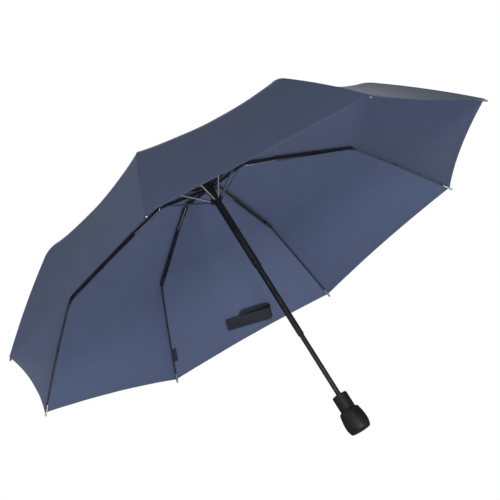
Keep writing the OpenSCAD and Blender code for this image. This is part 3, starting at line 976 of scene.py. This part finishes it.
# %% Strap
STRAP_IN = 42 * MM
STRAP_W = 25 * MM
STRAP_T = 0.9 * MM
STRAP_LEFT = -41 * MM
STRAP_TURN = 49 * MM
STRAP_LOOP_R = 5.6 * MM
STRAP_END = -12 * MM
STRAP_RISE = 16 * MM
STRAP_DROOP = math.radians(12)
STRAP_CLEAR = 1.5 * MM
STRAP_LOW = 1.5 * MM
STRAP_CLIMB = 2.5 * MM
STRAP_STEP = 6.5 * MM
STRAP_SETTLE = 1.5 * MM
STRAP_SETTLE_L = 20 * MM
STRAP_CURL = 0.5 * MM
STRAP_ROWS = 120
STRAP_COLUMNS = 13
middle_azimuth = 1.5 * EIGHTH
tilt = math.radians(OUTER_FALL + 3)
radial = Vector((math.cos(middle_azimuth), math.sin(middle_azimuth), 0))
to_left = Vector((-math.sin(middle_azimuth), math.cos(middle_azimuth), 0))
up_slope = -math.cos(tilt) * radial + Vector((0, 0, math.sin(tilt)))
inward = -math.sin(tilt) * radial - Vector((0, 0, math.cos(tilt)))
foot = ahead(tip_p, -STRAP_IN, -OUTER_FALL, -4 * MM)
strap_at = radial * foot[0] * math.cos(EIGHTH / 2) + Vector((0, 0, foot[1]))


def strap_path(s):
    """Place to the right, up the slope and off the cloth, s metres along the strap."""
    run = STRAP_TURN - STRAP_LEFT
    turn = math.pi * STRAP_LOOP_R
    if s < run:
        t = s / run
        up = STRAP_CLIMB * t * t - STRAP_LOW
        return (STRAP_LEFT + s, up, STRAP_CLEAR + 2 * STRAP_LOOP_R * t**1.5)
    at_turn = STRAP_CLIMB - STRAP_LOW
    if s < run + turn:
        a = (s - run) / STRAP_LOOP_R
        right = STRAP_TURN + 1.25 * STRAP_LOOP_R * math.sin(a)
        off = STRAP_CLEAR + STRAP_LOOP_R * (1 + math.cos(a))
        return (right, at_turn + STRAP_STEP * a / math.pi, off)
    back = s - run - turn
    settled = STRAP_SETTLE * min(1, back / STRAP_SETTLE_L)
    return (STRAP_TURN - back, at_turn + STRAP_STEP + settled, STRAP_CLEAR)


STRAP_L = (STRAP_TURN - STRAP_LEFT) + math.pi * STRAP_LOOP_R + (STRAP_TURN - STRAP_END)
points = []
for s in np.linspace(0, STRAP_L, STRAP_ROWS):
    right, up, off = strap_path(s)
    to_end = STRAP_L - s
    half = STRAP_W / 2
    if to_end < half:
        half = max(0.02, math.sqrt(1 - (1 - to_end / half) ** 2)) * half
    line = []
    for across in np.linspace(-1, 1, STRAP_COLUMNS):
        curl = STRAP_CURL * math.sin(2.2 * across + 40 * s)
        reach_right, reach_up = right - STRAP_LEFT, up + across * half
        right_now = STRAP_LEFT + reach_right * math.cos(STRAP_DROOP) + reach_up * math.sin(STRAP_DROOP)
        up_now = STRAP_RISE - reach_right * math.sin(STRAP_DROOP) + reach_up * math.cos(STRAP_DROOP)
        place = strap_at - to_left * right_now + up_slope * up_now + inward * (off + curl)
        line.append(tuple(place))
    points.append(line)
points = np.array(points)
normals = np.cross(np.gradient(points, axis=0), np.gradient(points, axis=1))
normals /= np.linalg.norm(normals, axis=2)[..., None]
uv = cloth_uv(np.linspace(-STRAP_W / 2, STRAP_W / 2, STRAP_COLUMNS), np.linspace(0, STRAP_L, STRAP_ROWS))
strap = cloth_sheet("closure_strap_cloth", points, normals, uv, STRAP_T, "strap_fabric")
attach(strap, "outer_3")
pleat(strap)
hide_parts("closure_strap")
flat, area = cut_size(points)
print("strap: %.3f x %.3f m" % flat)

# %% [markdown]
# ## Ribwork
# The pressed ribs come from the frame. Here come the small pieces that sit on them: the steel wires
# that drive the outer sections, the saddle over each clamp, rivet heads on every hinge, and the
# thread that ties the cloth to the ribs. A wire is a bent round rod, so a curve with a round bevel
# makes it, and it becomes a mesh at once.

# %% Wires
WIRE_R = 0.75 * MM
LINK_ASIDE = 2.9 * MM
DRIVE_ASIDE = 2.5 * MM
# Each wire's bends, in millimetres along its rib section and above it.
LINK_WAY = [(4, 0.2), (8, -2.4), (30, -2.6), (60, -2.6), (72, -1.2)]
DRIVE_WAY = [(-1.5, -6.6), (4, -6.9), (50, -5.9), (100, -4.6), (138, -3.4), (160, -2.9)]
for k in range(1, RIBS + 1):
    line = [on_rib(k, clamp_p, -MAIN_FALL, x * MM, LINK_ASIDE, z * MM) for x, z in LINK_WAY]
    link = strands(f"link_wire_{k}", [line], WIRE_R, "link_steel", sides=3)
    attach(link, f"main_{k}")
    line = [on_rib(k, mid_p, -MID_FALL, x * MM, DRIVE_ASIDE, z * MM) for x, z in DRIVE_WAY]
    drive = strands(f"drive_wire_{k}", [line], WIRE_R, "wire_painted", sides=3)
    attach(drive, f"mid_{k}")
print("wires:", 2 * RIBS)

# %% [markdown]
# ## Saddles
# Each clamp is covered by a folded plate with two cheeks, open below. Bending a flat sheet would do,
# but a short bar with a U for its section is simpler: the section is run through four stations,
# narrower at the ends, and every sharp edge is bevelled as a press would leave it.

# %% Saddles over the clamps
SADDLE_HALF = 3.1 * MM
SADDLE_T = 0.5 * MM
SADDLE_TOP = 2.4 * MM
SADDLE_LOW = -2.2 * MM
SADDLE_ROUND = 0.15 * MM
CORNER = 0.5 * MM
SHARP_PLATE = math.radians(40)


def plate(name, k, origin, degrees, section, stations, paint_name):
    """A bar with a cross-section (y, z) run through (x, scale of y, scale of z) stations."""
    bm = bmesh.new()
    rings = []
    for x, sy, sz in stations:
        rings.append([bm.verts.new(on_rib(k, origin, degrees, x, y * sy, z * sz)) for y, z in section])
    n = len(section)
    for a, b in zip(rings, rings[1:]):
        for i in range(n):
            bm.faces.new((a[i], a[(i + 1) % n], b[(i + 1) % n], b[i]))
    bm.faces.new(rings[0])
    bm.faces.new(list(reversed(rings[-1])))
    bmesh.ops.recalc_face_normals(bm, faces=bm.faces)
    sharp = [edge for edge in bm.edges if edge.calc_face_angle() > SHARP_PLATE]
    bmesh.ops.bevel(
        bm,
        geom=sharp,
        offset=SADDLE_ROUND,
        affect="EDGES",
        segments=2,
        profile=0.5,
        material=-1,
    )
    for face in bm.faces:
        face.smooth = True
    return finish_mesh(bm, name, paint_name)


cheek = SADDLE_HALF - SADDLE_T
roof = SADDLE_TOP - SADDLE_T - 0.2 * MM
u_section = [
    (-SADDLE_HALF, SADDLE_LOW),
    (-SADDLE_HALF, SADDLE_TOP - CORNER),
    (-SADDLE_HALF + CORNER, SADDLE_TOP),
    (SADDLE_HALF - CORNER, SADDLE_TOP),
    (SADDLE_HALF, SADDLE_TOP - CORNER),
    (SADDLE_HALF, SADDLE_LOW),
    (cheek, SADDLE_LOW),
    (cheek, roof),
    (-cheek, roof),
    (-cheek, SADDLE_LOW),
]
saddle_stations = [(8 * MM, 0.94, 1), (11 * MM, 1, 1), (28 * MM, 1, 1), (33 * MM, 0.9, 0.94)]
for k in range(1, RIBS + 1):
    saddle = plate(f"saddle_{k}", k, clamp_p, -MAIN_FALL, u_section, saddle_stations, "rib_painted")
    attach(saddle, f"main_{k}")
print("saddles:", RIBS)

# %% [markdown]
# ## Rivets
# The clamp, the fold and the outer bend each turn on a pin with a domed head at each end. A half
# sphere would stand too high, so a low dome is drawn as a profile and spun. There are fifty heads
# with the two in the upper tube, so each has only sixteen steps round.

# %% Rivet heads
HEAD_R = 1.25 * MM
HEAD_H = 0.55 * MM
HEAD_STEPS = 16
CLAMP_PIN_HALF = 3.65 * MM
FOLD_PIN_HALF = 2.3 * MM
BEND_PIN_HALF = 2.1 * MM


def rivet_pair(name, k, place, half, body):
    """Two domed heads on the ends of a pin across rib k, half its length from the rib's plane."""
    dome = [(0, 0), (HEAD_R, 0), (HEAD_R * 0.92, HEAD_H * 0.45), (HEAD_R * 0.6, HEAD_H * 0.86), (0, HEAD_H)]
    for side, word in ((1, "left"), (-1, "right")):
        centre = around(k, place[0], side * half, place[1])
        out_of = around(k, 0, side, 0)
        head = spun(f"{name}_{k}_{word}", dome, centre, out_of, "link_steel", HEAD_STEPS)
        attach(head, body)


for k in range(1, RIBS + 1):
    rivet_pair("clamp_rivet", k, clamp_p, CLAMP_PIN_HALF, f"top_{k}")
    rivet_pair("fold_rivet", k, mid_p, FOLD_PIN_HALF, f"main_{k}")
    rivet_pair("bend_rivet", k, outer_p, BEND_PIN_HALF, f"mid_{k}")
print("rivets:", 6 * RIBS)

# %% Tube rivets
TUBE_RIVET_Z = 0.3455
TUBE_RIVET_OUT = 6.7 * MM
tube_dome = [(0, 0), (1.1 * MM, 0), (1 * MM, 0.25 * MM), (0.6 * MM, 0.42 * MM), (0, 0.5 * MM)]
for turn in (55, 235):
    a = math.radians(turn)
    out_of = Vector((math.cos(a), math.sin(a), 0))
    centre = out_of * TUBE_RIVET_OUT + Vector((0, 0, TUBE_RIVET_Z))
    head = spun(f"tube_rivet_{turn}", tube_dome, centre, out_of, "link_steel", HEAD_STEPS)
    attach(head, "shaft_top")
print("tube rivets: 2")

# %% [markdown]
# ## Ties
# The cloth is tied to each rib with a few turns of thread at the middle and outer sections. A knot
# is too small to see, so a tie is three closed loops side by side, squared off to hug the rib, that
# reach up to just under the cloth.

# %% Ties
TIE_R = 0.28 * MM
TIE_PITCH = 0.7 * MM
TIE_POINTS = 20
TIE_SQUARE = 0.6
UNDER_CLOTH = 0.4 * MM
MID_TIE_LOW = -7 * MM
MID_TIE_HALF = 2.3 * MM
OUTER_TIE_H = 5.5 * MM
OUTER_TIE_HALF = 1.4 * MM


def cloth_over(origin, degrees, x):
    """Height of the ridge line over a rib section, x along it, in the section's own frame."""
    place = ahead(origin, x, degrees, 0)
    return (ridge_height(place[0]) - place[1]) * math.cos(math.radians(degrees))


def tie(name, k, origin, degrees, x, low, high, half, body):
    """Three turns of thread round a rib section, up to the cloth over it."""
    lines = []
    for turn in (-TIE_PITCH, 0, TIE_PITCH):
        loop = []
        for a in np.linspace(0, 2 * math.pi, TIE_POINTS, endpoint=False):
            right = math.copysign(abs(math.cos(a)) ** TIE_SQUARE, math.cos(a))
            up = math.copysign(abs(math.sin(a)) ** TIE_SQUARE, math.sin(a))
            z = (high + low) / 2 + (high - low) / 2 * up
            loop.append(on_rib(k, origin, degrees, x + turn, half * right, z))
        lines.append(loop)
    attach(strands(f"{name}_{k}", lines, TIE_R, "strap_fabric", closed=True, sides=1), body)


mid_x, outer_x = 0.5 * MID_L, 0.45 * OUTER_L
mid_high = cloth_over(mid_p, -MID_FALL, mid_x) - UNDER_CLOTH
outer_high = cloth_over(outer_p, -OUTER_FALL, outer_x) - UNDER_CLOTH
outer_low = outer_high - OUTER_TIE_H
for k in range(1, RIBS + 1):
    tie("tie_mid", k, mid_p, -MID_FALL, mid_x, MID_TIE_LOW, mid_high, MID_TIE_HALF, f"mid_{k}")
    tie("tie_outer", k, outer_p, -OUTER_FALL, outer_x, outer_low, outer_high, OUTER_TIE_HALF, f"outer_{k}")
print("ties: %d, up to %.4f m and %.4f m over their sections" % (2 * RIBS, mid_high, outer_high))

# %% [markdown]
# ## Painted shade beside rib 3's tip
# A small dark patch beside rib 3's tip is painted shade, for a blurred mark seen through the cloth.
# It lies on the inside, so it is cut from the canopy's own formula and given the thickness of tape.

# %% Patch beside rib 3
SHADE_PATCH_W = 9 * MM
SHADE_PATCH_L = 28 * MM
SHADE_PATCH_T = 1.1 * MM
SHADE_PATCH_BACK = 38 * MM
SHADE_PATCH_ASIDE = 2.2 * MM
SHADE_PATCH_LIFT = -0.85 * MM
SHADE_PATCH_ROWS = 12
SHADE_PATCH_COLUMNS = 8
SHADE_PATCH_PANEL = 1
chord_there = 2 * (tip_p[0] - 30 * MM) * math.sin(EIGHTH / 2)
rows_there = np.linspace(SHADE_PATCH_BACK + SHADE_PATCH_L, SHADE_PATCH_BACK, SHADE_PATCH_ROWS)
asides = SHADE_PATCH_ASIDE + np.linspace(SHADE_PATCH_W, 0, SHADE_PATCH_COLUMNS)
grid = np.array([
    [near_hem(SHADE_PATCH_PANEL, 1 - aside / chord_there, back, SHADE_PATCH_LIFT) for aside in asides]
    for back in rows_there
])
uv = cloth_uv(np.linspace(0, SHADE_PATCH_W, SHADE_PATCH_COLUMNS), rows_there)
# Painted shade: a dark sheet on the inside, where a blurred mark shows through the cloth.
painted_shade = cloth_sheet("hook_patch", grid, surface_normals(grid), uv, SHADE_PATCH_T, "strap_fabric")
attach(painted_shade, "outer_3")
pleat(painted_shade)
print("hook patch: %.3f x %.3f m" % (SHADE_PATCH_W, SHADE_PATCH_L))
